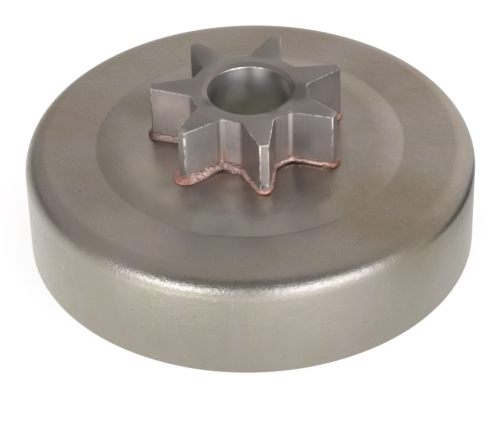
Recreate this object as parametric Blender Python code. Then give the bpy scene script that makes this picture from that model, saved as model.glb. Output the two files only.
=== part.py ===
"""A chainsaw clutch drum with its spur sprocket brazed on.

Three pieces in one rigid part: the drum, pressed from sheet steel and open below; the sprocket, a
seven-tooth star on a spigot that passes through the drum's floor; and the copper that joins them.
Units are metres and degrees. The axis is Z, and the rim of the drum stands on Z = 0.
"""

import math

import bmesh
import bpy
from mathutils import Matrix, Vector

# Drum
DRUM_RADIUS = 0.0415
DRUM_HEIGHT = 0.0202
SHEET = 0.0025
INNER_BEND_RADIUS = 0.0016
PLATEAU_BORDER = 0.0050
PLATEAU_RISE = 0.0010
SHOULDER_RADIUS = 0.01555
CREASE_RADIUS = 0.0012
RIM_OUTER_BREAK = 0.0003
RIM_INNER_CHAMFER = 0.0005
TRACK_DEPTH = 0.0002
TRACK_MARGIN = 0.0016

# Notch in the rim, for the arm that drives the oil pump
NOTCH_WIDTH = 0.0072
NOTCH_DEPTH = 0.0052
NOTCH_CORNER_RADIUS = 0.0016
NOTCH_ANGLE = 90.0
CUT_OVERRUN = 0.0020

# Sprocket
TOOTH_COUNT = 7
TIP_RADIUS = 0.01783
TIP_LAND = 0.00175
TOOTH_HEIGHT = 0.0107
FIRST_TOOTH_ANGLE = -90.0
ROOT_WIDTH = 0.00367
ROOT_FILLET = 0.0006
TIP_BREAK = 0.00025
TOP_BREAK = 0.00015
LEAST_ROUNDING = 0.00005
BORE_RADIUS = 0.0075
HUB_WALL = 0.0031
BORE_MOUTH_WIDTH = 0.00108
BORE_MOUTH_DEPTH = 0.00054
SPIGOT_STEP = 0.0012
SPIGOT_PROUD = 0.0008
SPIGOT_END_BREAK = 0.0003

# Copper braze
BRAZE_FILM = 0.0001
SEAT_GAP = 0.00005
BEAD_WIDTH = 0.0011
BEAD_HEIGHT = 0.0010
INNER_FILLET = 0.0005

# Facets
DRUM_SEGMENTS = 96
OUTER_BEND_STEPS = 6
INNER_BEND_STEPS = 4
SHOULDER_STEPS = 4
CREASE_STEPS = 2
NOTCH_CORNER_STEPS = 4
TIP_BREAK_STEPS = 2
ROOT_FILLET_STEPS = 3
FLANK_STEPS = 3
ROOT_STEPS = 2
BEAD_STEPS = 4
INNER_FILLET_STEPS = 3

# Places that the sizes above fix
SHARP_ANGLE = math.radians(30)
HALF_PITCH = math.pi / TOOTH_COUNT
root_radius = BORE_RADIUS + HUB_WALL
spigot_radius = root_radius - SPIGOT_STEP
plateau_radius = TIP_RADIUS + PLATEAU_BORDER
plateau_z = DRUM_HEIGHT + PLATEAU_RISE
inner_plateau_z = plateau_z - SHEET
braze_z = plateau_z + SEAT_GAP
sprocket_base_z = braze_z + BRAZE_FILM + SEAT_GAP
sprocket_top_z = sprocket_base_z + TOOTH_HEIGHT
spigot_end_z = inner_plateau_z - SPIGOT_PROUD
sleeve_inner_radius = spigot_radius + SEAT_GAP
sleeve_outer_radius = sleeve_inner_radius + BRAZE_FILM
drum_hole_radius = sleeve_outer_radius + SEAT_GAP


def remove_everything():
    for thing in list(bpy.data.objects):
        bpy.data.objects.remove(thing, do_unlink=True)


def make_material(name, colour, roughness, metallic):
    material = bpy.data.materials.new(name)
    material.use_nodes = True
    shader = material.node_tree.nodes["Principled BSDF"]
    shader.inputs["Base Color"].default_value = (*colour, 1.0)
    shader.inputs["Roughness"].default_value = roughness
    shader.inputs["Metallic"].default_value = metallic
    material.diffuse_color = (*colour, 1.0)
    return material


def make_object(name, shape, material):
    """A named object from a bmesh, with its round faces smooth and its edges crisp."""
    mesh = bpy.data.meshes.new(name)
    bmesh.ops.recalc_face_normals(shape, faces=shape.faces)
    shape.to_mesh(mesh)
    shape.free()
    mesh.shade_smooth()
    mesh.set_sharp_from_angle(angle=SHARP_ANGLE)
    mesh.materials.append(material)
    thing = bpy.data.objects.new(name, mesh)
    bpy.context.scene.collection.objects.link(thing)
    return thing


def arc(centre, radius, start, end, steps):
    """Points of an arc in a plane, from one angle to another, both ends included."""
    points = []
    for step in range(steps + 1):
        angle = start + (end - start) * step / steps
        points.append((centre[0] + radius * math.cos(angle), centre[1] + radius * math.sin(angle)))
    return points


def drum_section():
    """The drum's half section as (radius, height), once round, from the rim up the outside and back."""
    bend_radius = INNER_BEND_RADIUS + SHEET
    bend_centre = (DRUM_RADIUS - bend_radius, DRUM_HEIGHT - bend_radius)
    shoulder_centre = (plateau_radius, plateau_z - SHOULDER_RADIUS)
    centres_apart = SHOULDER_RADIUS + CREASE_RADIUS
    crease_reach = math.sqrt(centres_apart**2 - (centres_apart - PLATEAU_RISE) ** 2)
    crease_centre = (plateau_radius + crease_reach, DRUM_HEIGHT + CREASE_RADIUS)
    slope = math.asin(crease_reach / centres_apart)
    up = math.pi / 2

    inner_wall = DRUM_RADIUS - SHEET
    track_radius = inner_wall + TRACK_DEPTH
    track_top = DRUM_HEIGHT - bend_radius - TRACK_MARGIN

    outside = [(DRUM_RADIUS - RIM_OUTER_BREAK, 0), (DRUM_RADIUS, RIM_OUTER_BREAK)]
    outside += arc(bend_centre, bend_radius, 0, up, OUTER_BEND_STEPS)
    outside += arc(crease_centre, CREASE_RADIUS, -up, -up - slope, CREASE_STEPS)
    outside += arc(shoulder_centre, SHOULDER_RADIUS, up - slope, up, SHOULDER_STEPS)[1:]
    outside += [(drum_hole_radius, plateau_z)]

    inside = [(drum_hole_radius, inner_plateau_z)]
    inside += arc(shoulder_centre, SHOULDER_RADIUS - SHEET, up, up - slope, SHOULDER_STEPS)
    inside += arc(crease_centre, CREASE_RADIUS + SHEET, -up - slope, -up, CREASE_STEPS)[1:]
    inside += arc(bend_centre, INNER_BEND_RADIUS, up, 0, INNER_BEND_STEPS)
    inside += [(inner_wall, track_top + TRACK_DEPTH), (track_radius, track_top)]
    inside += [(track_radius, RIM_INNER_CHAMFER), (track_radius + RIM_INNER_CHAMFER, 0)]
    return outside + inside


def spin_section(section, segments):
    """A closed section of (radius, height) turned once about Z."""
    shape = bmesh.new()
    corners = [shape.verts.new((radius, 0, height)) for radius, height in section]
    edges = [shape.edges.new((a, b)) for a, b in zip(corners, corners[1:] + corners[:1])]
    bmesh.ops.spin(
        shape,
        geom=corners + edges,
        cent=(0, 0, 0),
        axis=(0, 0, 1),
        angle=2 * math.pi,
        steps=segments,
        use_merge=True,
    )
    return shape


def notch_cutter():
    """An arch with rounded corners, drawn inside the wall and pushed out through it."""
    half_width = NOTCH_WIDTH / 2
    corner_x = half_width - NOTCH_CORNER_RADIUS
    corner_z = NOTCH_DEPTH - NOTCH_CORNER_RADIUS
    right = arc((corner_x, corner_z), NOTCH_CORNER_RADIUS, 0, math.pi / 2, NOTCH_CORNER_STEPS)
    left = arc((-corner_x, corner_z), NOTCH_CORNER_RADIUS, math.pi / 2, math.pi, NOTCH_CORNER_STEPS)
    outline = [(half_width, -CUT_OVERRUN)] + right + left + [(-half_width, -CUT_OVERRUN)]
    inner_x = DRUM_RADIUS - SHEET - CUT_OVERRUN
    outer_x = DRUM_RADIUS + CUT_OVERRUN

    shape = bmesh.new()
    face = shape.faces.new([shape.verts.new((inner_x, across, height)) for across, height in outline])
    pushed = bmesh.ops.extrude_face_region(shape, geom=[face])
    moved = [item for item in pushed["geom"] if isinstance(item, bmesh.types.BMVert)]
    bmesh.ops.translate(shape, verts=moved, vec=(outer_x - inner_x, 0, 0))
    turn = Matrix.Rotation(math.radians(NOTCH_ANGLE), 3, "Z")
    bmesh.ops.rotate(shape, verts=shape.verts, cent=(0, 0, 0), matrix=turn)
    return shape


def make_drum(material):
    drum = make_object("clutch_drum", spin_section(drum_section(), DRUM_SEGMENTS), material)
    cutter = make_object("notch_cutter", notch_cutter(), material)
    cutter.hide_render = True
    cutter.display_type = "WIRE"
    cut = drum.modifiers.new("rim_notch", "BOOLEAN")
    cut.operation = "DIFFERENCE"
    cut.solver = "EXACT"
    cut.object = cutter
    return drum


def offset_line(start, end, offset):
    """The line through two points, moved to its right by offset, as (point, direction)."""
    direction = (end - start).normalized()
    return start + Vector((direction.y, -direction.x)) * offset, direction


def meeting_point(first, second):
    """Where two lines, each a (point, direction), cross."""
    apart = second[0] - first[0]
    across = first[1].x * second[1].y - first[1].y * second[1].x
    along = (apart.x * second[1].y - apart.y * second[1].x) / across
    return first[0] + first[1] * along


def rounded_corner(before, corner, after, radius, steps):
    """Points of the fillet that rounds a corner between its two neighbours."""
    into = (corner - before).normalized()
    out = (after - corner).normalized()
    turn = into.angle_signed(out)
    tangent_length = radius * math.tan(abs(turn) / 2)
    side = math.copysign(1, turn)
    start = corner - into * tangent_length
    centre = start + Vector((into.y, -into.x)) * radius * side
    points = []
    for step in range(steps + 1):
        swing = Matrix.Rotation(-turn * step / steps, 2)
        points.append(centre + swing @ (start - centre))
    return points


def between(start, end, steps):
    """The points inside a straight run that is cut into equal steps."""
    return [start.lerp(end, step / steps) for step in range(1, steps)]


def tooth_outline(offset):
    """One tooth of the star and the gullet after it, anticlockwise, moved outwards by offset."""
    tip = TIP_RADIUS
    half_land = TIP_LAND / 2
    gullet = Vector((math.cos(HALF_PITCH), math.sin(HALF_PITCH)))
    along_root = Vector((-gullet.y, gullet.x)) * (ROOT_WIDTH / 2)
    pitch_turn = Matrix.Rotation(2 * HALF_PITCH, 2)

    land_start = Vector((tip, -half_land))
    land_end = Vector((tip, half_land))
    root_start = gullet * root_radius - along_root
    root_end = gullet * root_radius + along_root
    last_root_end = pitch_turn.inverted() @ root_end

    approach = offset_line(last_root_end, land_start, offset)
    land = offset_line(land_start, land_end, offset)
    flank = offset_line(land_end, root_start, offset)
    root = offset_line(root_start, root_end, offset)
    next_flank = offset_line(root_end, pitch_turn @ land_start, offset)
    corners = [
        meeting_point(approach, land),
        meeting_point(land, flank),
        meeting_point(flank, root),
        meeting_point(root, next_flank),
    ]
    before = pitch_turn.inverted() @ corners[3]
    after = pitch_turn @ corners[0]

    tip_rounding = max(TIP_BREAK + offset, LEAST_ROUNDING)
    root_rounding = max(ROOT_FILLET - offset, LEAST_ROUNDING)
    tip_in = rounded_corner(before, corners[0], corners[1], tip_rounding, TIP_BREAK_STEPS)
    tip_out = rounded_corner(corners[0], corners[1], corners[2], tip_rounding, TIP_BREAK_STEPS)
    root_in = rounded_corner(corners[1], corners[2], corners[3], root_rounding, ROOT_FILLET_STEPS)
    root_out = rounded_corner(corners[2], corners[3], after, root_rounding, ROOT_FILLET_STEPS)

    points = tip_in + tip_out + between(tip_out[-1], root_in[0], FLANK_STEPS)
    points += root_in + between(root_in[-1], root_out[0], ROOT_STEPS)
    points += root_out + between(root_out[-1], pitch_turn @ tip_in[0], FLANK_STEPS)
    return points


def star_loop(offset, height):
    """The whole star, moved outwards by offset, at a height."""
    tooth = tooth_outline(offset)
    loop = []
    for index in range(TOOTH_COUNT):
        turn = Matrix.Rotation(math.radians(FIRST_TOOTH_ANGLE) + 2 * HALF_PITCH * index, 2)
        loop += [Vector((*(turn @ point), height)) for point in tooth]
    return loop


def round_loop(radius, height):
    """A circle with one point opposite each point of the star, so that the two join in clean quads."""
    loop = []
    for point in star_loop(0, height):
        flat = Vector((point.x, point.y, 0)).normalized() * radius
        loop.append(Vector((flat.x, flat.y, height)))
    return loop


def loft_ring(loops):
    """A closed ring whose skin runs through each loop in turn and back to the first."""
    shape = bmesh.new()
    rings = [[shape.verts.new(point) for point in loop] for loop in loops]
    for ring, next_ring in zip(rings, rings[1:] + rings[:1]):
        for index in range(len(ring)):
            shape.faces.new((ring[index - 1], ring[index], next_ring[index], next_ring[index - 1]))
    return shape


def make_sprocket(material):
    """Loops run from the bore's mouth over the star and the spigot, and up the bore."""
    end_break = min(SPIGOT_END_BREAK, (spigot_radius - BORE_RADIUS) / 3)
    loops = [
        round_loop(BORE_RADIUS + BORE_MOUTH_WIDTH, sprocket_top_z),
        star_loop(-TOP_BREAK, sprocket_top_z),
        star_loop(0, sprocket_top_z - TOP_BREAK),
        star_loop(0, sprocket_base_z),
        round_loop(spigot_radius, sprocket_base_z),
        round_loop(spigot_radius, spigot_end_z + end_break),
        round_loop(spigot_radius - end_break, spigot_end_z),
        round_loop(BORE_RADIUS + end_break, spigot_end_z),
        round_loop(BORE_RADIUS, spigot_end_z + end_break),
        round_loop(BORE_RADIUS, sprocket_top_z - BORE_MOUTH_DEPTH),
    ]
    return make_object("spur_sprocket", loft_ring(loops), material)


def make_braze(material):
    """One run of copper: the bead round the star's foot, the film under the star and round its spigot,
    and the small fillet inside the drum."""
    film_top = braze_z + BRAZE_FILM
    floor_z = inner_plateau_z - SEAT_GAP
    loops = [round_loop(sleeve_inner_radius, film_top), star_loop(SEAT_GAP, film_top)]
    for across, up in arc((0, 0), 1, math.pi / 2, 0, BEAD_STEPS):
        loops.append(star_loop(SEAT_GAP + BEAD_WIDTH * across, film_top + BEAD_HEIGHT * up))
    loops += [star_loop(SEAT_GAP + BEAD_WIDTH, braze_z), round_loop(sleeve_outer_radius, braze_z)]
    loops += [round_loop(sleeve_outer_radius, floor_z)]
    fillet_radius = sleeve_inner_radius + INNER_FILLET + BRAZE_FILM
    fillet_z = floor_z - INNER_FILLET
    hollow = arc((fillet_radius, fillet_z), INNER_FILLET, math.pi / 2, math.pi, INNER_FILLET_STEPS)
    loops += [round_loop(radius, height) for radius, height in hollow]
    loops += [round_loop(sleeve_inner_radius, fillet_z)]
    return make_object("copper_braze", loft_ring(loops), material)


def main():
    remove_everything()
    drum_steel = make_material("drum_steel", (0.33, 0.30, 0.26), 0.38, 1.0)
    sprocket_steel = make_material("sprocket_steel", (0.27, 0.25, 0.24), 0.42, 1.0)
    copper = make_material("copper", (0.55, 0.27, 0.20), 0.45, 1.0)
    make_drum(drum_steel)
    make_sprocket(sprocket_steel)
    make_braze(copper)


main()
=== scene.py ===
"""The looks of a chainsaw clutch drum with its spur sprocket brazed on.

Three pieces: the pressed drum, the sprocket's star on its spigot, and the copper bead between them.
Shapes are drawn in millimetres and scaled to metres at the end. The axis is Z, the open rim stands on
Z = 0, and one tooth points along -Y.
"""

import math

import bmesh
import bpy
from mathutils import Matrix, Vector, noise


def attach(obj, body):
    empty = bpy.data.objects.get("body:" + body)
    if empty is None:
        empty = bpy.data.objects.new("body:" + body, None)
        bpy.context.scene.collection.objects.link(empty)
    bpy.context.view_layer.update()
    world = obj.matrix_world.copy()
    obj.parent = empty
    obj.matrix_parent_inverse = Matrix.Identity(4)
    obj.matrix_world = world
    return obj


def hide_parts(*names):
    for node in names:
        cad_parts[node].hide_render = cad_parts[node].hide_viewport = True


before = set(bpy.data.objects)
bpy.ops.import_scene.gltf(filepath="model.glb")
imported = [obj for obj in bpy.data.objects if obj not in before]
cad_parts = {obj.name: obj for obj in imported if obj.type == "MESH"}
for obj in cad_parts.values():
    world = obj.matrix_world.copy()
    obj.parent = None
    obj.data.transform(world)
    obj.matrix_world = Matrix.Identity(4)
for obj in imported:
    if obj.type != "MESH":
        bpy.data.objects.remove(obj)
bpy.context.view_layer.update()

MM = 0.001
# In millimetres: lengths closer than TOUCHING count as equal, and points closer than WELD are merged
TOUCHING = 0.01
WELD = 0.001
# Edges that turn by more degrees than this are shaded sharp
SHARP_ANGLE = 35
STAR_SHARP_ANGLE = 25

# Drum, in millimetres
DRUM_RADIUS = 41.5
DRUM_HEIGHT = 20.2
SHEET = 2.5
INNER_BEND_RADIUS = 1.6
PLATEAU_RADIUS = 22.8
PLATEAU_RISE = 1.0
PLATEAU_Z = DRUM_HEIGHT + PLATEAU_RISE
SHOULDER_RADIUS = 15.55
CREASE_RADIUS = 1.6
RIM_OUTER_BREAK = 0.3
RIM_INNER_CHAMFER = 0.5
TRACK_DEPTH = 0.2
TRACK_MARGIN = 1.6
DRUM_HOLE_RADIUS = 9.6
NOTCH_WIDTH = 7.2
NOTCH_DEPTH = 5.2
NOTCH_CORNER_RADIUS = 1.6
NOTCH_ANGLE = 90.0
CUT_OVERRUN = 2.0
DRUM_STEPS = 288
BEND_STEPS = 20
CREASE_STEPS = 9
SHOULDER_STEPS = 12
INNER_BEND_STEPS = 10
INNER_CREASE_STEPS = 5
NOTCH_CORNER_STEPS = 8

# The drum's finish, with its lengths in millimetres. It is smoother near the star.
DRUM_DARK = (0.311, 0.280, 0.240, 1)
DRUM_LIGHT = (0.347, 0.313, 0.267, 1)
DRUM_PATCH = (0.335, 0.289, 0.252, 1)
DRUM_PINK_CAST = (0.343, 0.305, 0.286, 1)
DRUM_GREEN_CAST = (0.322, 0.300, 0.243, 1)
# Painted shade: a thin dark line along the front of the plateau's crease
PAINTED_CREASE_SHADE = (0.12, 0.105, 0.09, 1)
CREASE_LINE_RADIUS = 28.4
CREASE_LINE_FADE = (0.05, 0.35)
CREASE_LINE_CENTRE = (2.0, -28.4, 20.2)
CREASE_LINE_REACH = (8.0, 15.0)
CREASE_LINE_STRENGTH = 0.3
DARK_SPECK = (0.10, 0.09, 0.08, 1)
BRIGHT_SPECK = (0.55, 0.51, 0.45, 1)
DRUM_GRAIN_DEPTH = 0.052
DRUM_DENT_DEPTH = 0.070
DRUM_ROUGHNESS = (0.30, 0.40)
LEAST_ROUGHNESS = 0.285
SMOOTH_ROUGHNESS_SHARE = 0.75
SMOOTH_RELIEF_SHARE = 0.25
SMOOTH_RADIUS = 15.0
SATIN_RADIUS = 22.0
GRAINY_RADIUS = 23.0

# Heat tints on the drum away from the star, and, near the star and on the plateau's shoulder, painted
# reflections and painted shade, lighter or darker where the plateau mirrors the star: centre, solid and
# faded-out radius in millimetres, tint and strength
HEAT_TINTS_AND_PAINTED_REFLECTIONS = (
    (22, -25, 20, 5, 16, (0.84, 0.78, 0.68, 1), 1.0),
    (30, 14, 20, 4, 14, (0.88, 0.84, 0.79, 1), 0.9),
    (12, 32, 20, 3, 11, (0.90, 0.86, 0.80, 1), 0.8),
    (-32, 14, 20, 3, 11, (0.93, 0.86, 0.78, 1), 0.9),
    (-24, -24, 20, 4, 13, (1.08, 1.07, 1.10, 1), 0.8),
    (-10, -27, 20, 3, 12, (0.96, 1.0, 1.06, 1), 0.8),
    (-4, -16, 21, 2, 14, (1.34, 1.36, 1.38, 1), 1.0),
    (-4.5, -15, 21, 1.5, 6, (1.28, 1.28, 1.28, 1), 1.0),
    (-12, -13.5, 21, 1, 4, (0.84, 0.85, 0.86, 1), 1.0),
    (-3.5, -19.5, 21, 1.5, 5, (1.20, 1.20, 1.20, 1), 1.0),
    (-16.5, -7.5, 21, 1, 4.5, (1.20, 1.20, 1.20, 1), 1.0),
    (-8.5, -20.5, 21, 1.5, 7, (1.26, 1.28, 1.28, 1), 1.0),
    (-18, -8, 21, 2, 11, (1.32, 1.32, 1.34, 1), 1.0),
    (9, -16, 21, 1, 9, (1.22, 1.20, 1.17, 1), 1.0),
    (-28, -8, 21, 4, 12, (0.90, 0.89, 0.89, 1), 1.0),
    (0, 26, 21, 2, 9, (0.86, 0.85, 0.84, 1), 1.0),
    (-17, 14, 21, 2, 8, (0.78, 0.77, 0.77, 1), 1.0),
    (-9, -24, 21, 1.2, 4.2, (0.84, 0.84, 0.85, 1), 1.0),
    (6, -25.6, 21, 1.5, 4.8, (0.86, 0.86, 0.87, 1), 1.0),
    (-15, -15.5, 21, 1.5, 5, (1.20, 1.20, 1.20, 1), 1.0),
    (10, -15, 21, 1.5, 4.5, (1.12, 1.12, 1.12, 1), 1.0),
)

# Sprocket, in millimetres
TOOTH_COUNT = 7
HALF_PITCH = math.pi / TOOTH_COUNT
FIRST_TOOTH_ANGLE = -90.0
TIP_RADIUS = 17.83
TIP_LAND = 1.75
ROOT_RADIUS = 10.6
MID_TOOTH_RADIUS = (TIP_RADIUS + ROOT_RADIUS) / 2
ROOT_WIDTH = 3.67
ROOT_FILLET = 0.47
TIP_BREAK = 0.24
TOP_BREAK = 0.15
BORE_RADIUS = 7.5
BORE_MOUTH_WIDTH = 0.88
BORE_MOUTH_DEPTH = 0.52
LIP_ROUNDING = 0.18
LIP_FLARE_SHARE = 0.45
BORE_OVERRUN = 1.0
BORE_STEPS = 144
ROOT_FILLET_SEGMENTS = 7
TIP_BREAK_SEGMENTS = 5
TOP_BREAK_SEGMENTS = 3
SPIGOT_RADIUS = 9.4
SPIGOT_END_Z = 17.9
SPIGOT_END_BREAK = 0.3
SPROCKET_BASE_Z = 21.4
SPROCKET_TOP_Z = 32.1

# The order of the sprocket's materials
STEEL_FACE = 0
EDGE_FACE = 1
BORE_FACE = 2

# The sprocket's finishes, with their lengths in millimetres
STAR_ROUGHNESS = (0.40, 0.54)
EDGE_ROUGHNESS = (0.45, 0.30)
BORE_ROUGHNESS = (0.42, 0.50)
STAR_TOP_DARK = (0.268, 0.246, 0.228, 1)
STAR_TOP_LIGHT = (0.302, 0.279, 0.259, 1)
# The flanks are painted lighter towards their foot, as light bounced up from the drum
STAR_FLANK_HEAD = (0.310, 0.271, 0.246, 1)
STAR_FLANK_FOOT_PAINTED_LIGHT = (0.435, 0.374, 0.340, 1)
STAR_FLANK_MOTTLE = (0.27, 0.24, 0.22, 1)
FLANK_FOOT_Z = 22.8
FLANK_HEAD_Z = 31.5
TOP_COLOUR_FADE = (0.35, 0.05)
TOOL_LINE_FADE = (0.9, 1.9)
TOOL_LINE_DEPTH = 0.07
TOOL_LINE_FAR_SHARE = 0.12
STAR_GRAIN_SHARE = 0.25
EDGE_DULL = (0.25, 0.23, 0.208, 1)
EDGE_RUBBED = (0.80, 0.76, 0.70, 1)
RUB_DEPTH = 0.02
# The bore's wall is olive and lighter low down, greyer and darker high up
BORE_LOW_TONES = ((0.38, 0.37, 0.29, 1), (0.45, 0.44, 0.36, 1))
BORE_HIGH_TONES = ((0.29, 0.28, 0.265, 1), (0.35, 0.335, 0.315, 1))
BORE_TONE_FADE = (23.0, 28.0)
BORE_RING_DEPTH = 0.01
BORE_ANISOTROPY = 0.75
# Painted light and painted shade on the star's flanks and top, where they catch the lamps or lie in shade,
# with a painted glint and its shade at the foot of the front tooth's tip, given as the drum's are
FLANK_PAINTED_LIGHT_AND_SHADE = (
    (-15.5, -2, 28, 3, 7, (1.38, 1.33, 1.31, 1), 1.0),
    (-9.5, -12.5, 31, 2.5, 6, (0.84, 0.87, 0.90, 1), 1.0),
    (11.5, -10.5, 31, 2.5, 6, (0.86, 0.87, 0.90, 1), 1.0),
    (7.6, -10.2, 26, 1.0, 3.5, (0.78, 0.78, 0.78, 1), 1.0),
    (-8.5, 11.5, 29, 3, 6.5, (0.62, 0.60, 0.60, 1), 1.0),
    (0, -17.9, 23.5, 1.0, 3.5, (1.24, 1.28, 1.28, 1), 1.0),
    (13, 0, 32.1, 5, 12, (0.84, 0.83, 0.82, 1), 1.0),
    (8.3, -2.6, 31.8, 1.5, 4.5, (0.60, 0.60, 0.60, 1), 1.0),
    (0, -17.9, 30.5, 1.5, 4.0, (1.13, 1.10, 1.09, 1), 1.0),
    (0.5, -17.9, 23.3, 0.15, 0.55, (1.7, 1.7, 1.7, 1), 1.0),
    (-0.6, -17.9, 22.9, 0.25, 0.8, (0.50, 0.55, 0.48, 1), 1.0),
    (2.3, -13.5, 24.5, 1.5, 3.7, (1.27, 1.22, 1.18, 1), 1.0),
    (-4.6, -9.5, 22.8, 1.5, 3.5, (1.20, 1.15, 1.15, 1), 1.0),
    (4.6, -9.5, 22.8, 1.5, 3.5, (1.15, 1.11, 1.09, 1), 1.0),
    (14.5, 0.5, 25.5, 3.5, 7.5, (1.28, 1.30, 1.34, 1), 1.0),
    (5.0, 12.2, 32.1, 2.5, 4.8, (0.82, 0.81, 0.80, 1), 1.0),
    (-10.8, 4.5, 32.1, 2.5, 6.0, (0.87, 0.86, 0.85, 1), 1.0),
    (-7.4, -3.0, 31.8, 0.7, 2.2, (0.67, 0.68, 0.70, 1), 1.0),
    (3.0, -7.4, 31.8, 0.7, 2.0, (0.70, 0.72, 0.66, 1), 1.0),
    (-10.2, -10.2, 26.5, 1.5, 4.0, (0.93, 0.96, 0.97, 1), 1.0),
    (-13.95, -11.1, 26.5, 0.8, 2.4, (0.93, 0.93, 0.94, 1), 1.0),
    (-4.6, 11.4, 32.1, 2.0, 5.0, (1.09, 1.08, 1.06, 1), 1.0),
    (5.0, 12.2, 32.1, 2.0, 4.0, (0.95, 0.94, 0.93, 1), 1.0),
)
# Upright marks in the star's corners: painted highlights along the rounded roots, and ragged red-brown
# copper stains; x, y, foot and head, half width, raggedness, colour and strength
CORNER_HIGHLIGHTS_AND_STAINS = (
    (6.15, -8.85, 20.0, 80.0, 0.62, 0.0, (0.50, 0.455, 0.42, 1), 0.9),
    (-6.15, -8.85, 20.0, 80.0, 0.62, 0.0, (0.44, 0.405, 0.37, 1), 0.8),
    (-6.25, -8.8, 21.4, 28.0, 1.4, 4.0, (0.52, 0.34, 0.28, 1), 0.9),
    (6.25, -8.8, 21.4, 25.8, 1.1, 4.0, (0.52, 0.34, 0.28, 1), 0.8),
    (-2.9, -10.4, 21.4, 25.5, 1.0, 4.0, (0.50, 0.33, 0.27, 1), 0.8),
    (-13.95, -11.1, 20.0, 80.0, 1.5, 0.0, (0.46, 0.40, 0.365, 1), 0.8),
    (13.95, -11.1, 20.0, 80.0, 1.3, 0.0, (0.42, 0.375, 0.345, 1), 0.6),
    (10.74, -0.57, 30.5, 32.0, 0.45, 0.0, (0.58, 0.54, 0.51, 1), 0.8),
)
# Painted highlights and painted shade in the bore, mostly on its upper wall, given as the drum's are
BORE_PAINTED_LIGHT_AND_SHADE = (
    (1.4, 7.3, 31.0, 0.8, 4.2, (1.58, 1.53, 1.43, 1), 1.0),
    (7.3, 1.9, 30.6, 0.6, 3.6, (1.50, 1.48, 1.46, 1), 1.0),
    (-1.3, 7.4, 26.0, 1.0, 3.0, (1.27, 1.29, 1.27, 1), 1.0),
    (4.8, 5.7, 31.2, 0.8, 2.8, (0.80, 0.79, 0.77, 1), 1.0),
    (7.0, 2.6, 26.5, 1.5, 5.0, (1.14, 1.14, 1.12, 1), 1.0),
    (7.3, 1.5, 30.8, 1.0, 3.4, (1.20, 1.20, 1.22, 1), 1.0),
    (-4.8, 5.7, 25.5, 1.5, 3.5, (1.12, 1.12, 1.12, 1), 1.0),
)
# Painted light and painted shade on the copper, given as the drum's are
COPPER_PAINTED_LIGHT_AND_SHADE = (
    (-5.0, -10.4, 21.9, 1.5, 4.0, (0.73, 0.72, 0.71, 1), 1.0),
    (-2.6, -14.5, 21.8, 1.0, 3.5, (0.94, 0.92, 0.93, 1), 1.0),
    (-17.7, 3.2, 21.8, 1.2, 3.0, (0.62, 0.62, 0.62, 1), 1.0),
    (5.0, -10.4, 21.9, 1.5, 4.0, (0.77, 0.74, 0.72, 1), 1.0),
    (-14.0, -0.5, 22.0, 3.5, 6.5, (0.78, 0.82, 0.82, 1), 1.0),
    (0.0, -18.4, 21.6, 1.0, 2.6, (1.25, 1.30, 1.38, 1), 1.0),
    (-14.9, -10.6, 21.6, 0.8, 2.2, (1.40, 1.38, 1.40, 1), 1.0),
    (11.5, -11.5, 21.8, 3.0, 5.5, (0.84, 0.81, 0.77, 1), 1.0),
    (14.4, -11.8, 21.8, 0.8, 2.4, (0.86, 0.80, 0.79, 1), 1.0),
)
# Where edges are rubbed bright: centre, solid and faded-out radius, and strength
RUBBED_PLACES = (
    (-12.5, -11.0, 32, 2.5, 6.0, 0.9),
    (-14.5, -11.5, 24, 2.0, 5.0, 0.8),
    (0.5, -17.5, 28, 5.0, 8.0, 1.0),
    (2.8, -13.0, 32, 2.0, 4.5, 0.9),
    (-5.8, -9.2, 32, 0.6, 1.8, 1.0),
    (12.0, -10.5, 32, 3.0, 6.5, 0.9),
    (14.5, -11.5, 27, 3.0, 6.0, 0.6),
    (-15.0, 1.5, 32, 2.5, 6.0, 0.7),
    (14.5, 2.5, 32, 2.5, 5.5, 0.5),
    (10.7, -0.6, 31, 0.8, 2.0, 0.8),
    (9.0, 13.5, 30, 2.0, 5.0, 0.3),
    (-0.5, 7.8, 31.5, 2.5, 5.5, 1.0),
    (-8.0, -1.0, 31.6, 2.0, 5.0, 0.5),
)

# Copper, with its lengths in millimetres
COPPER_ROUGHNESS = (0.52, 0.36)
COPPER_DARK = (0.46, 0.295, 0.245, 1)
COPPER_BRIGHT = (0.84, 0.65, 0.58, 1)
COPPER_PATCH = (0.50, 0.31, 0.25, 1)
COPPER_PAST_TIP = (0.42, 0.23, 0.18, 1)
# Painted shade: the copper darkens towards its foot, where it meets the drum
COPPER_FOOT_PAINTED_SHADE = (0.30, 0.175, 0.14, 1)
COPPER_GRAIN_DEPTH = 0.15
LOW_FADE = (21.3, 21.9)
LOW_SHARES = (0.35, 0.15)
PAST_TIP_FADE = (16.6, 18.2)
CALM_FADE = (-4.0, 2.0)
CALM_RELIEF_SHARE = 0.4
BEAD_SEAT = 0.05
BEAD_CORE = 0.25
BEAD_PAST_TIP = 0.12
BEAD_STEP = 0.3
BEAD_EASING = 10
BEAD_VOXEL = 0.12
RUN_ROUNDNESS = 6
MELT_FACTOR = 0.5
MELT_PASSES = 6
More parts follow.
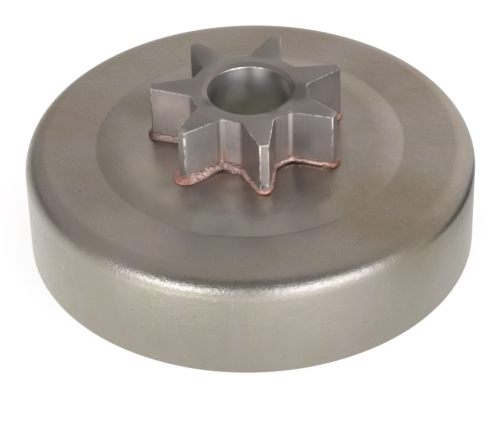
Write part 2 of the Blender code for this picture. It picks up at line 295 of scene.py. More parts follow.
# Angle round the axis in degrees, how far the copper spreads from the star, and how high it stands
BEAD_SIZES = (
    (-180, 0.55, 1.30),
    (-167, 0.60, 1.30),
    (-154, 0.80, 1.05),
    (-148, 1.35, 0.90),
    (-144, 1.45, 0.95),
    (-139, 0.95, 1.40),
    (-132, 0.85, 1.85),
    (-124, 0.80, 1.90),
    (-112, 0.95, 1.65),
    (-106, 0.78, 1.45),
    (-95, 0.50, 1.15),
    (-90, 0.35, 1.10),
    (-85, 0.48, 1.15),
    (-74, 0.60, 1.40),
    (-62, 0.58, 1.50),
    (-53, 0.56, 1.50),
    (-48, 0.52, 1.30),
    (-41, 0.52, 1.15),
    (-36, 0.95, 0.95),
    (-32, 1.15, 0.90),
    (-25, 0.60, 0.85),
    (-12, 0.50, 0.80),
    (12, 0.60, 0.85),
    (90, 0.65, 0.85),
    (140, 0.75, 0.95),
    (165, 0.80, 1.20),
    (172, 0.65, 1.35),
)
BEAD_UNEVENNESS = 0.07
BEAD_UNEVEN_SCALE = 0.9
# Where the copper climbs a corner of the star: the corner's number, the climb's height and its width
BEAD_CLIMBS = ((26, 2.4, 1.1), (3, 1.2, 0.9))
BEAD_CLIMB_REACH = 0.1
CLIMB_START = 0.5
CLIMB_TIP = 0.05
CLIMB_TAPER = 1.4
CLIMB_STEPS = 6
# The foot fills the hollow that the bead's round section leaves, as the camera sees it. Slope and drop
# are about the sine and the cotangent of the camera's elevation.
FOOT_SLOPE = 0.6
FOOT_DROP = 1.34
FOOT_EDGE = 0.08
FOOT_FLATNESS = 0.5
GRAIN_DEPTH = 0.15
GRAIN_SCALE = 3.8
LUMP_DEPTH = 0.12
LUMP_SCALE = 1.1
GRAIN_FULL_HEIGHT = 0.3
CALM_SHARE = 0.6
PAST_TIP_SMOOTH_SHARE = 0.8
SLEEVE_INNER_RADIUS = 9.45
SLEEVE_OUTER_RADIUS = 9.55
INNER_FILLET = 0.5
FILLET_WAVE = 0.06
FILLET_WAVE_SCALE = 0.9
FILLET_STEPS = 6

# Camera: how the photograph was taken, as fitted to its outlines
PHOTO_WIDTH = 500
SENSOR_WIDTH = 36.0
CAMERA_AZIMUTH = -8.11
CAMERA_ELEVATION = 36.698
CAMERA_DISTANCE = 442.35
CAMERA_AIM_HEIGHT = 15.18
CAMERA_PAN = -0.0423
CAMERA_TILT = -1.4596
CAMERA_ROLL = -1.3603
FOCAL_PIXELS = 2385.75
# The nearest and farthest that the camera sees, in metres
CAMERA_NEAR = 0.01
CAMERA_FAR = 20.0

# Studio. Azimuths and elevations are in degrees from the camera's side.
LAMP_COLOUR = (0.956, 1.0, 1.133)
# Each lamp's name, azimuth and elevation, half its width and half its height as angles, and radiance
LAMPS = (
    ("left_softbox", -34.7, 15.3, 18.9, 10.4, 5.36),
    ("right_softbox", 32.1, 12.2, 23.5, 18.4, 3.84),
)
ROOM_COLOUR = (1.051, 1.0, 0.988, 1)
ROOM_LEVEL = 0.722
# Azimuth, elevation, solid and faded-out angle, and how much brighter or dimmer the room is there
ROOM_SHADES = (
    (4.7, 25.0, 50, 57.9, -0.50),
    (-117.1, -20, 0, 45.2, -0.777),
    (-129.5, 17.9, 0, 69.9, -0.188),
    (139.3, 22.2, 0, 33.7, 0.459),
    (176.9, 20.3, 0, 24.6, 0.279),
)
TABLE_COLOUR = (0.985, 1.0, 0.985, 1)
# Painted pools of light and painted shade on the table, which only the metal sees: azimuth, distance and
# faded-out radius in millimetres, and the change in what the metal sees there
PAINTED_TABLE_POOLS = (
    (-31.3, 96.4, 45.4, 2.67),
    (15.0, 115.0, 81.6, 1.51),
    (92.7, 89.8, 40.4, -5.88),
    (-90.0, 45.3, 108.5, 0.26),
    (218.5, 202.7, 190.7, -0.30),
)
LEAST_TABLE_LEVEL = 0.03
# Painted shadow: the table glows dimmer under the drum
PAINTED_UNDER_DRUM_SHADOW = 0.35
UNDER_DRUM_FADE = 0.5
TABLE_WHITE = 0.72
TABLE_MATT = (0.46, 0.455, 0.45, 1)
# In metres
TABLE_HALF_SIZE = 4.0


def direction(azimuth, elevation):
    """A unit vector. Azimuth 0 is the camera's side and grows to its right; both are in degrees."""
    turn = math.radians(azimuth + CAMERA_AZIMUTH - 90)
    rise = math.radians(elevation)
    return Vector((math.cos(turn) * math.cos(rise), math.sin(turn) * math.cos(rise), math.sin(rise)))


def add_object(name, data):
    item = bpy.data.objects.new(name, data)
    bpy.context.scene.collection.objects.link(item)
    return item


def make_camera():
    aim = Vector((0, 0, CAMERA_AIM_HEIGHT * MM))
    place = aim + direction(0, CAMERA_ELEVATION) * CAMERA_DISTANCE * MM
    data = bpy.data.cameras.new("camera")
    data.sensor_width = SENSOR_WIDTH
    data.lens = FOCAL_PIXELS * SENSOR_WIDTH / PHOTO_WIDTH
    data.clip_start = CAMERA_NEAR
    data.clip_end = CAMERA_FAR
    look = (aim - place).to_track_quat("-Z", "Y").to_matrix()
    for angle, axis in ((-CAMERA_PAN, "Y"), (CAMERA_TILT, "X"), (CAMERA_ROLL, "Z")):
        look = look @ Matrix.Rotation(math.radians(angle), 3, axis)
    camera = add_object("camera", data)
    camera.matrix_world = Matrix.Translation(place) @ look.to_4x4()
    bpy.context.scene.camera = camera


# Node helpers


class Nodes:
    """A short way to write a node tree."""

    def __init__(self, tree):
        self.tree = tree
        tree.nodes.clear()

    def add(self, kind, label="", **settings):
        node = self.tree.nodes.new(kind)
        node.label = label
        for name, value in settings.items():
            setattr(node, name, value)
        return node

    def link(self, source, target):
        self.tree.links.new(source, target)

    def fill(self, socket, value):
        """Puts a number, a colour or another node's output into a socket."""
        if isinstance(value, bpy.types.NodeSocket):
            self.link(value, socket)
        else:
            socket.default_value = value

    def math(self, operation, first, second=0.0):
        node = self.add("ShaderNodeMath", operation=operation)
        self.fill(node.inputs[0], first)
        self.fill(node.inputs[1], second)
        return node.outputs[0]

    def vector(self, operation, first, second=(0, 0, 0)):
        """The number that a vector operation gives."""
        node = self.add("ShaderNodeVectorMath", operation=operation)
        self.fill(node.inputs[0], first)
        self.fill(node.inputs[1], second)
        return node.outputs["Value"]

    def ramp(self, value, low, high, out_low=0.0, out_high=1.0, smooth=True):
        kind = "SMOOTHSTEP" if smooth else "LINEAR"
        node = self.add("ShaderNodeMapRange", interpolation_type=kind)
        for socket, number in zip(node.inputs[:5], (value, low, high, out_low, out_high)):
            self.fill(socket, number)
        return node.outputs["Result"]

    def span(self, length, low, high, out_low=0.0, out_high=1.0, smooth=True):
        """A ramp between two lengths in millimetres."""
        return self.ramp(length, low * MM, high * MM, out_low, out_high, smooth)

    def mix(self, factor, first, second, blend="MIX"):
        """Mixes two colours. The node has its colours at inputs 6 and 7 and at output 2."""
        node = self.add("ShaderNodeMix", data_type="RGBA", blend_type=blend)
        self.fill(node.inputs["Factor"], factor)
        self.fill(node.inputs[6], first)
        self.fill(node.inputs[7], second)
        return node.outputs[2]

    def noise(self, place, scale, detail=2.0, roughness=0.5, distortion=0.0):
        node = self.add("ShaderNodeTexNoise")
        self.fill(node.inputs["Vector"], place)
        node.inputs["Scale"].default_value = scale
        node.inputs["Detail"].default_value = detail
        node.inputs["Roughness"].default_value = roughness
        node.inputs["Distortion"].default_value = distortion
        return node.outputs["Fac"]

    def stretch(self, place, scale):
        node = self.add("ShaderNodeMapping")
        self.fill(node.inputs["Vector"], place)
        node.inputs["Scale"].default_value = scale
        return node.outputs["Vector"]

    def flatten(self, place):
        return self.stretch(place, (1.0, 1.0, 0.0))

    def parts(self, place):
        """The X, Y and Z of a place."""
        node = self.add("ShaderNodeSeparateXYZ")
        self.link(place, node.inputs[0])
        return node.outputs

    def distance(self, place, centre):
        """The distance to a centre that is given in millimetres."""
        return self.vector("DISTANCE", place, tuple(part * MM for part in centre))

    def spot(self, place, centre, inner, outer):
        """1 within inner millimetres of a point, fading to 0 at outer."""
        return self.span(self.distance(place, centre), inner, outer, 1.0, 0.0)

    def tinted(self, colour, place, tints, edge=1.0):
        """A colour with a table of tints, or of painted light and shade, laid over it. The edge varies how
        strong they are.
        """
        for x, y, z, inner, outer, tint, share in tints:
            spot = self.math("MULTIPLY", self.spot(place, (x, y, z), inner, outer), edge)
            here = self.math("MULTIPLY", spot, share)
            colour = self.mix(here, colour, self.mix(1.0, colour, tint, "MULTIPLY"))
        return colour

    def choose(self, factor, first, second, output):
        """The end of a tree: the first shader where the factor is 0, the second where it is 1."""
        chosen = self.add("ShaderNodeMixShader")
        self.link(factor, chosen.inputs[0])
        self.link(first.outputs[0], chosen.inputs[1])
        self.link(second.outputs[0], chosen.inputs[2])
        self.link(chosen.outputs[0], self.add(output).inputs["Surface"])


def new_material(name):
    """A material, its nodes, and the place on the object that its patterns follow."""
    material = bpy.data.materials.new(name)
    material.use_nodes = True
    nodes = Nodes(material.node_tree)
    return material, nodes, nodes.add("ShaderNodeTexCoord").outputs["Object"]


def finish_metal(nodes, colour, roughness, relief, depth):
    """The end of each metal's tree: a metallic shader with its colour, its roughness, and a relief that
    is depth millimetres high."""
    bump = nodes.add("ShaderNodeBump")
    bump.inputs["Strength"].default_value = 1.0
    bump.inputs["Distance"].default_value = depth * MM
    nodes.fill(bump.inputs["Height"], relief)
    shader = nodes.add("ShaderNodeBsdfPrincipled")
    shader.inputs["Metallic"].default_value = 1.0
    nodes.fill(shader.inputs["Base Color"], colour)
    nodes.fill(shader.inputs["Roughness"], roughness)
    nodes.link(bump.outputs["Normal"], shader.inputs["Normal"])
    output = nodes.add("ShaderNodeOutputMaterial")
    nodes.link(shader.outputs[0], output.inputs["Surface"])
    return shader


# Finishes


def drum_steel():
    """Satin pressed steel with faint heat tints and the fine grain of tumbling. Near the star it carries
    painted reflections and painted shade where the plateau mirrors the star, and a painted shade line
    along the front of the crease.
    """
    material, nodes, place = new_material("drum_steel")
    broad = nodes.noise(place, scale=55.0, detail=3.0, roughness=0.55, distortion=0.4)
    patches = nodes.noise(place, scale=140.0, detail=3.0, roughness=0.6, distortion=0.8)
    cast = nodes.noise(nodes.stretch(place, (1.0, 1.0, 0.3)), scale=125.0)
    colour = nodes.mix(nodes.ramp(broad, 0.35, 0.65), DRUM_DARK, DRUM_LIGHT)
    colour = nodes.mix(nodes.ramp(patches, 0.45, 0.7, 0.0, 0.6), colour, DRUM_PATCH)
    colour = nodes.mix(nodes.ramp(cast, 0.48, 0.62, 0.0, 0.6), colour, DRUM_PINK_CAST)
    colour = nodes.mix(nodes.ramp(cast, 0.50, 0.36, 0.0, 0.6), colour, DRUM_GREEN_CAST)
    # Heat tints, and painted reflections and painted shade near the star
    colour = nodes.tinted(colour, place, HEAT_TINTS_AND_PAINTED_REFLECTIONS, edge=nodes.ramp(patches, 0.25, 0.6, 0.7, 1.1))

    from_axis = nodes.vector("LENGTH", nodes.flatten(place))
    # A painted shade line along the crease, on the front side only
    off_crease = nodes.math("ABSOLUTE", nodes.math("SUBTRACT", from_axis, CREASE_LINE_RADIUS * MM))
    line = nodes.span(off_crease, *CREASE_LINE_FADE, CREASE_LINE_STRENGTH, 0.0)
    in_front = nodes.spot(place, CREASE_LINE_CENTRE, *CREASE_LINE_REACH)
    colour = nodes.mix(nodes.math("MULTIPLY", line, in_front), colour, PAINTED_CREASE_SHADE)

    specks = nodes.noise(place, scale=1500.0, detail=1.0)
    colour = nodes.mix(nodes.ramp(specks, 0.72, 0.78, 0.0, 0.35), colour, DARK_SPECK)
    colour = nodes.mix(nodes.ramp(specks, 0.28, 0.22, 0.0, 0.35), colour, BRIGHT_SPECK)

    grain = nodes.noise(place, scale=2600.0, roughness=0.6)
    dents = nodes.noise(place, scale=420.0)
    satin = nodes.span(from_axis, SMOOTH_RADIUS, SATIN_RADIUS, SMOOTH_ROUGHNESS_SHARE, 1.0)
    roughness = nodes.math("MULTIPLY", nodes.ramp(grain, 0.3, 0.7, *DRUM_ROUGHNESS), satin)
    roughness = nodes.math("MAXIMUM", roughness, LEAST_ROUGHNESS)
    grain_height = nodes.math("MULTIPLY", grain, DRUM_GRAIN_DEPTH)
    dent_height = nodes.math("MULTIPLY", dents, DRUM_DENT_DEPTH)
    grainy = nodes.span(from_axis, SMOOTH_RADIUS, GRAINY_RADIUS, SMOOTH_RELIEF_SHARE, 1.0)
    relief = nodes.math("MULTIPLY", nodes.math("ADD", grain_height, dent_height), grainy)
    finish_metal(nodes, colour, roughness, relief, depth=1.0)
    return material


def sprocket_steel():
    """Grey hardened steel. Its roots keep upright tool lines, its flanks are ground smoother. The flanks
    are painted lighter towards their foot, and the star carries painted light and shade, painted
    highlights along its roots, and copper stains.
    """
    material, nodes, place = new_material("sprocket_steel")
    height = nodes.parts(place)["Z"]
    flat = nodes.flatten(place)
    mottle = nodes.noise(place, scale=260.0, detail=3.0, roughness=0.6)
    top = nodes.mix(nodes.ramp(mottle, 0.3, 0.7), STAR_TOP_DARK, STAR_TOP_LIGHT)
    # Painted light: the flanks get lighter towards their foot
    up_flank = nodes.span(height, FLANK_FOOT_Z, FLANK_HEAD_Z, smooth=False)
    flank = nodes.mix(up_flank, STAR_FLANK_FOOT_PAINTED_LIGHT, STAR_FLANK_HEAD)
    flank = nodes.mix(nodes.ramp(mottle, 0.35, 0.65, 0.0, 0.5), flank, STAR_FLANK_MOTTLE)
    low, high = (SPROCKET_TOP_Z - depth for depth in TOP_COLOUR_FADE)
    colour = nodes.mix(nodes.span(height, low, high, 1.0, 0.0), top, flank)
    # Painted light and painted shade on the star
    colour = nodes.tinted(colour, place, FLANK_PAINTED_LIGHT_AND_SHADE)
    # Painted highlights along the roots, and copper stains
    for x, y, foot, head, width, raggedness, tint, share in CORNER_HIGHLIGHTS_AND_STAINS:
        ragged = nodes.math("MULTIPLY", nodes.math("SUBTRACT", mottle, 0.5), raggedness * MM)
        beside = nodes.math("ADD", nodes.distance(flat, (x, y, 0)), ragged)
        across = nodes.span(beside, width / 2, width, share, 0.0)
        up = nodes.span(nodes.math("ADD", height, ragged), foot, head, 1.0, 0.0)
        colour = nodes.mix(nodes.math("MULTIPLY", across, up), colour, tint)

    lines = nodes.noise(nodes.stretch(place, (1.0, 1.0, 0.02)), scale=2400.0, roughness=0.6)
    grain = nodes.noise(place, scale=2800.0, roughness=0.6)
    low, high = (ROOT_RADIUS + past for past in TOOL_LINE_FADE)
    at_root = nodes.span(nodes.vector("LENGTH", flat), low, high, 1.0, TOOL_LINE_FAR_SHARE)
    line_relief = nodes.math("MULTIPLY", lines, at_root)
    relief = nodes.math("ADD", line_relief, nodes.math("MULTIPLY", grain, STAR_GRAIN_SHARE))
    finish_metal(nodes, colour, nodes.ramp(mottle, 0.3, 0.7, *STAR_ROUGHNESS), relief, TOOL_LINE_DEPTH)
    return material


def bright_edges():
    """The same steel where handling has rubbed its edges bright. Some edges are rubbed, in patches."""
    material, nodes, place = new_material("bright_edges")
    rubbed = nodes.noise(place, scale=900.0, detail=3.0, roughness=0.7)
    handled = 0.0
    for x, y, z, inner, outer, share in RUBBED_PLACES:
        spot = nodes.spot(place, (x, y, z), inner, outer)
        handled = nodes.math("MAXIMUM", handled, nodes.math("MULTIPLY", spot, share))
    shine = nodes.math("MULTIPLY", nodes.ramp(rubbed, 0.36, 0.56), handled)
    colour = nodes.mix(shine, EDGE_DULL, EDGE_RUBBED)
    finish_metal(nodes, colour, nodes.ramp(shine, 0.0, 1.0, *EDGE_ROUGHNESS), rubbed, RUB_DEPTH)
    return material


def reamed_bore():
    """The bore's wall: fine rings left by the reamer spread the light up and down. It is olive and lighter
    low down, and its upper wall carries painted highlights and painted shade.
    """
    material, nodes, place = new_material("reamed_bore")
    rings = nodes.noise(nodes.stretch(place, (0.05, 0.05, 1.0)), scale=6000.0, roughness=0.6)
    film = nodes.ramp(nodes.noise(place, scale=180.0), 0.3, 0.7)
    # Olive and lighter low in the bore, greyer high up
    high_in_bore = nodes.span(nodes.parts(place)["Z"], *BORE_TONE_FADE)
    colour = nodes.mix(high_in_bore, nodes.mix(film, *BORE_LOW_TONES), nodes.mix(film, *BORE_HIGH_TONES))
    # Painted highlights and painted shade in the bore
    colour = nodes.tinted(colour, place, BORE_PAINTED_LIGHT_AND_SHADE)
    roughness = nodes.ramp(rings, 0.3, 0.7, *BORE_ROUGHNESS)
    shader = finish_metal(nodes, colour, roughness, rings, BORE_RING_DEPTH)
    shader.inputs["Anisotropic"].default_value = BORE_ANISOTROPY
    upright = nodes.add("ShaderNodeCombineXYZ")
    upright.inputs["Z"].default_value = 1.0
    nodes.link(upright.outputs[0], shader.inputs["Tangent"])
    return material


def copper_bead():
    """Grainy copper, pink and bright on top, red-brown and smooth where it ran past the tooth tips. It is
    painted darker towards its foot as shade, and carries painted light and shade in patches.
    """
    material, nodes, place = new_material("copper_bead")
    parts = nodes.parts(place)
    grain = nodes.noise(place, scale=4200.0, detail=3.0, roughness=0.7)
    tone = nodes.noise(place, scale=700.0)
    colour = nodes.mix(nodes.ramp(grain, 0.35, 0.65), COPPER_DARK, COPPER_BRIGHT)
    colour = nodes.mix(nodes.ramp(tone, 0.45, 0.65, 0.0, 0.4), colour, COPPER_PATCH)
    past_tip = nodes.span(nodes.vector("LENGTH", nodes.flatten(place)), *PAST_TIP_FADE)
    colour = nodes.mix(past_tip, colour, COPPER_PAST_TIP)
    # Painted shade, darker towards the bead's foot
    low_share = nodes.ramp(past_tip, 0.0, 1.0, *LOW_SHARES)
    low = nodes.math("MULTIPLY", nodes.span(parts["Z"], *LOW_FADE, 1.0, 0.0), low_share)
    # Painted light and painted shade on the copper
    colour = nodes.tinted(nodes.mix(low, colour, COPPER_FOOT_PAINTED_SHADE), place, COPPER_PAINTED_LIGHT_AND_SHADE)
    calm = nodes.span(parts["X"], *CALM_FADE, 1.0, CALM_RELIEF_SHARE)
    relief = nodes.math("MULTIPLY", grain, calm)
    finish_metal(nodes, colour, nodes.ramp(grain, 0.3, 0.7, *COPPER_ROUGHNESS), relief, COPPER_GRAIN_DEPTH)
    return material


# Shapes


def arc(centre, radius, start, end, steps):
    """Points of an arc in a plane, from one angle to another, both ends included."""
    points = []
    for step in range(steps + 1):
        angle = start + (end - start) * step / steps
        points.append((centre[0] + radius * math.cos(angle), centre[1] + radius * math.sin(angle)))
    return points


def share_between(value, ends):
    """0 at the first end, 1 at the second, and a straight line between them."""
    low, high = ends
    return max(0.0, min(1.0, (value - low) / (high - low)))


def mesh_from(shape, name):
    mesh = bpy.data.meshes.new(name)
    shape.to_mesh(mesh)
    shape.free()
    return mesh


def baked_mesh(item):
    """An object's mesh as its modifiers leave it."""
    return bpy.data.meshes.new_from_object(item.evaluated_get(bpy.context.evaluated_depsgraph_get()))


def shade(mesh, sharp_angle):
    mesh.shade_smooth()
    mesh.set_sharp_from_angle(angle=math.radians(sharp_angle))


def make_piece(name, shape, materials):
    """An object in metres from a bmesh in millimetres."""
    bmesh.ops.scale(shape, vec=(MM, MM, MM), verts=shape.verts)
    mesh = mesh_from(shape, name)
    for material in materials:
        mesh.materials.append(material)
    return add_object(name, mesh)


def combine(piece, other, operation):
    """Cuts another object out of a piece, or adds it, and keeps the result as the piece's mesh."""
    step = piece.modifiers.new("step", "BOOLEAN")
    step.operation = operation
    step.solver = "EXACT"
    step.object = other
    result = baked_mesh(piece)
    piece.modifiers.clear()
    piece.data = result
    bpy.data.objects.remove(other)


def pushed_out(shape, outline, way):
    """A face from an outline, pushed along a vector into a solid."""
    face = shape.faces.new([shape.verts.new(corner) for corner in outline])
    pushed = bmesh.ops.extrude_face_region(shape, geom=[face])["geom"]
    moved = [item for item in pushed if isinstance(item, bmesh.types.BMVert)]
    bmesh.ops.translate(shape, verts=moved, vec=way)
    bmesh.ops.recalc_face_normals(shape, faces=shape.faces)


def turned(section, steps, from_axis=False):
    """A section of (radius, height) turned once about Z. It is closed, or starts and ends on the axis."""
    shape = bmesh.new()
    corners = [shape.verts.new((radius, 0, height)) for radius, height in section]
    after = corners[1:] if from_axis else corners[1:] + corners[:1]
    edges = [shape.edges.new(pair) for pair in zip(corners, after)]
    bmesh.ops.spin(
        shape,
        geom=corners + edges,
        cent=(0, 0, 0),
        axis=(0, 0, 1),
        angle=2 * math.pi,
        steps=steps,
        use_merge=True,
    )
    if from_axis:
        bmesh.ops.remove_doubles(shape, verts=shape.verts, dist=WELD)
    bmesh.ops.recalc_face_normals(shape, faces=shape.faces)
    return shape


def drum_section():
    """The drum's half section as (radius, height), once round, from the rim up the outside and back."""
    bend_radius = INNER_BEND_RADIUS + SHEET
    bend_centre = (DRUM_RADIUS - bend_radius, DRUM_HEIGHT - bend_radius)
    shoulder_centre = (PLATEAU_RADIUS, PLATEAU_Z - SHOULDER_RADIUS)
    centres_apart = SHOULDER_RADIUS + CREASE_RADIUS
    crease_reach = math.sqrt(centres_apart**2 - (centres_apart - PLATEAU_RISE) ** 2)
    crease_centre = (PLATEAU_RADIUS + crease_reach, DRUM_HEIGHT + CREASE_RADIUS)
    slope = math.asin(crease_reach / centres_apart)
    up = math.pi / 2

    inner_wall = DRUM_RADIUS - SHEET
    track_radius = inner_wall + TRACK_DEPTH
    track_top = DRUM_HEIGHT - bend_radius - TRACK_MARGIN

    outside = [(DRUM_RADIUS - RIM_OUTER_BREAK, 0), (DRUM_RADIUS, RIM_OUTER_BREAK)]
    outside += arc(bend_centre, bend_radius, 0, up, BEND_STEPS)
    outside += arc(crease_centre, CREASE_RADIUS, -up, -up - slope, CREASE_STEPS)
    outside += arc(shoulder_centre, SHOULDER_RADIUS, up - slope, up, SHOULDER_STEPS)[1:]
    outside += [(DRUM_HOLE_RADIUS, PLATEAU_Z)]

    inside = [(DRUM_HOLE_RADIUS, PLATEAU_Z - SHEET)]
    inside += arc(shoulder_centre, SHOULDER_RADIUS - SHEET, up, up - slope, SHOULDER_STEPS)
    inside += arc(crease_centre, CREASE_RADIUS + SHEET, -up - slope, -up, INNER_CREASE_STEPS)[1:]
    inside += arc(bend_centre, INNER_BEND_RADIUS, up, 0, INNER_BEND_STEPS)
    inside += [(inner_wall, track_top + TRACK_DEPTH), (track_radius, track_top)]
    inside += [(track_radius, RIM_INNER_CHAMFER), (track_radius + RIM_INNER_CHAMFER, 0)]
    return outside + inside


def notch_cutter():
    """An arch with rounded corners, drawn inside the wall and pushed out through it."""
    half_width = NOTCH_WIDTH / 2
    corner = (half_width - NOTCH_CORNER_RADIUS, NOTCH_DEPTH - NOTCH_CORNER_RADIUS)
    right = arc(corner, NOTCH_CORNER_RADIUS, 0, math.pi / 2, NOTCH_CORNER_STEPS)
    left = [(-across, height) for across, height in reversed(right)]
    arch = [(half_width, -CUT_OVERRUN)] + right + left + [(-half_width, -CUT_OVERRUN)]
    inner_x = DRUM_RADIUS - SHEET - CUT_OVERRUN
    shape = bmesh.new()
    pushed_out(shape, [(inner_x, *corner) for corner in arch], (SHEET + 2 * CUT_OVERRUN, 0, 0))
    turn = Matrix.Rotation(math.radians(NOTCH_ANGLE), 3, "Z")
    bmesh.ops.rotate(shape, verts=shape.verts, cent=(0, 0, 0), matrix=turn)
    return shape


def make_drum(material):
    drum = make_piece("pressed_drum", turned(drum_section(), DRUM_STEPS), [material])
    combine(drum, make_piece("notch_cutter", notch_cutter(), [material]), "DIFFERENCE")
    shade(drum.data, SHARP_ANGLE)
    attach(drum, "root")
    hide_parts("clutch_drum")


def star_corners(spread=0.0):
    """The star's sharp corners, anticlockwise, with every side moved outwards by spread."""
    gullet = Vector((math.cos(HALF_PITCH), math.sin(HALF_PITCH)))
    along_root = Vector((-gullet.y, gullet.x)) * (ROOT_WIDTH / 2)
    tooth = [
        Vector((TIP_RADIUS, -TIP_LAND / 2)),
        Vector((TIP_RADIUS, TIP_LAND / 2)),
        gullet * ROOT_RADIUS - along_root,
        gullet * ROOT_RADIUS + along_root,
    ]
    corners = []
    for index in range(TOOTH_COUNT):
        turn = Matrix.Rotation(math.radians(FIRST_TOOTH_ANGLE) + 2 * HALF_PITCH * index, 2)
        corners += [turn @ corner for corner in tooth]
    moved = []
    for before, corner, after in zip(corners[-1:] + corners, corners, corners[1:] + corners[:1]):
        side_in = (corner - before).normalized()
        side_out = (after - corner).normalized()
        out_in = Vector((side_in.y, -side_in.x))
        out_out = Vector((side_out.y, -side_out.x))
        moved.append(corner + (out_in + out_out) * spread / (1 + out_in.dot(out_out)))
    return moved


def bevelled(shape, edges, offset, segments):
    """Rounds some edges. Gives the faces that this makes."""
    return bmesh.ops.bevel(
        shape, geom=edges, affect="EDGES", offset=offset, segments=segments, profile=0.5, material=-1
    )["faces"]


def star_blank():
    """The star sawn out of the bar, with its corners rounded and its top edges broken. Faces of the
    broken edges get the second material."""
    shape = bmesh.new()
    outline = [(*corner, SPROCKET_BASE_Z) for corner in star_corners()]
    pushed_out(shape, outline, (0, 0, SPROCKET_TOP_Z - SPROCKET_BASE_Z))
    upright = [edge for edge in shape.edges if abs(edge.verts[0].co.z - edge.verts[1].co.z) > TOUCHING]
    tips = [edge for edge in upright if edge.verts[0].co.xy.length > MID_TOOTH_RADIUS]
    roots = [edge for edge in upright if edge.verts[0].co.xy.length < MID_TOOTH_RADIUS]
    bevelled(shape, roots, ROOT_FILLET, ROOT_FILLET_SEGMENTS)
    for face in bevelled(shape, tips, TIP_BREAK, TIP_BREAK_SEGMENTS):
        face.material_index = EDGE_FACE
    top_z = SPROCKET_TOP_Z - TOUCHING
    rim = [edge for edge in shape.edges if min(vert.co.z for vert in edge.verts) > top_z]
    for face in bevelled(shape, rim, TOP_BREAK, TOP_BREAK_SEGMENTS):
        face.material_index = EDGE_FACE
    return shape


def make_sprocket(steel, edges, bored):
    """The star with its spigot turned on below and its bore cut through both."""
    sprocket = make_piece("star_sprocket", star_blank(), [steel, edges, bored])
    spigot = [
        (0, SPIGOT_END_Z),
        (SPIGOT_RADIUS - SPIGOT_END_BREAK, SPIGOT_END_Z),
        (SPIGOT_RADIUS, SPIGOT_END_Z + SPIGOT_END_BREAK),
        (SPIGOT_RADIUS, SPROCKET_BASE_Z + BORE_OVERRUN),
        (0, SPROCKET_BASE_Z + BORE_OVERRUN),
    ]
    turned_spigot = turned(spigot, BORE_STEPS, from_axis=True)
    combine(sprocket, make_piece("spigot", turned_spigot, [steel]), "UNION")
    mouth_z = SPROCKET_TOP_Z - BORE_MOUTH_DEPTH
    flare = BORE_OVERRUN * BORE_MOUTH_WIDTH / BORE_MOUTH_DEPTH
    bore = [
        (0, SPIGOT_END_Z - BORE_OVERRUN),
        (BORE_RADIUS + SPIGOT_END_BREAK + BORE_OVERRUN, SPIGOT_END_Z - BORE_OVERRUN),
        (BORE_RADIUS, SPIGOT_END_Z + SPIGOT_END_BREAK),
        (BORE_RADIUS, mouth_z - LIP_ROUNDING),
        (BORE_RADIUS + LIP_ROUNDING * LIP_FLARE_SHARE, mouth_z),
        (BORE_RADIUS + BORE_MOUTH_WIDTH + flare, SPROCKET_TOP_Z + BORE_OVERRUN),
        (0, SPROCKET_TOP_Z + BORE_OVERRUN),
    ]
    cutter = turned(bore, BORE_STEPS, from_axis=True)
    for face in cutter.faces:
        height = face.calc_center_median().z
        if height > mouth_z:
            face.material_index = STEEL_FACE
        elif height > mouth_z - LIP_ROUNDING:
            face.material_index = EDGE_FACE
        else:
            face.material_index = BORE_FACE
    combine(sprocket, make_piece("bore_cutter", cutter, [steel, edges, bored]), "DIFFERENCE")
    shade(sprocket.data, STAR_SHARP_ANGLE)
    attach(sprocket, "root")
    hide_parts("spur_sprocket")


def bead_size(place):
    """How far the copper spreads and how high it stands at a place by the star's foot, in millimetres."""
    angle = math.degrees(math.atan2(place.y, place.x))
    marks = BEAD_SIZES + ((BEAD_SIZES[0][0] + 360, *BEAD_SIZES[0][1:]),)
    for before, after in zip(marks, marks[1:]):
        if before[0] <= angle <= after[0]:
            share = (angle - before[0]) / (after[0] - before[0])
            uneven = BEAD_UNEVENNESS * noise.noise(Vector((place.x, place.y, 0)) * BEAD_UNEVEN_SCALE)
            return tuple(low + (high - low) * share + uneven for low, high in zip(before[1:], after[1:]))
    raise ValueError("no bead size at this angle")


def bead_line():
    """The line that the copper follows round the star's foot, with its corners eased round."""
    corners = []
    for corner in star_corners(-BEAD_CORE):
        past_tip = BEAD_PAST_TIP if corner.length > MID_TOOTH_RADIUS else 0.0
        corners.append(corner + corner.normalized() * past_tip)
    line = []
    for corner, after in zip(corners, corners[1:] + corners[:1]):
        steps = max(1, round((after - corner).length / BEAD_STEP))
        line += [corner.lerp(after, step / steps) for step in range(steps)]
    for _ in range(BEAD_EASING):
        neighbours = zip(line[-1:] + line, line, line[1:] + line[:1])
        line = [(before + spot * 2 + after) / 4 for before, spot, after in neighbours]
    return line


def new_runs(name):
    """A curve with a round section, in which a run's thickness is its radius."""
    curve = bpy.data.curves.new(name, "CURVE")
    curve.dimensions = "3D"
    curve.bevel_depth = 1.0
    curve.bevel_resolution = RUN_ROUNDNESS
    return curve


def add_run(curve, points, cyclic):
    """One run of copper: points are (place, thickness)."""
    run = curve.splines.new("POLY")
    run.points.add(len(points) - 1)
    for point, (place, thickness) in zip(run.points, points):
        point.co = (*place, 1)
        point.radius = thickness
    run.use_cyclic_u = cyclic


def solid_runs(curve):
    """The mesh of a curve's runs."""
    runs = add_object(curve.name, curve)
    mesh = baked_mesh(runs)
    bpy.data.objects.remove(runs)
    return mesh


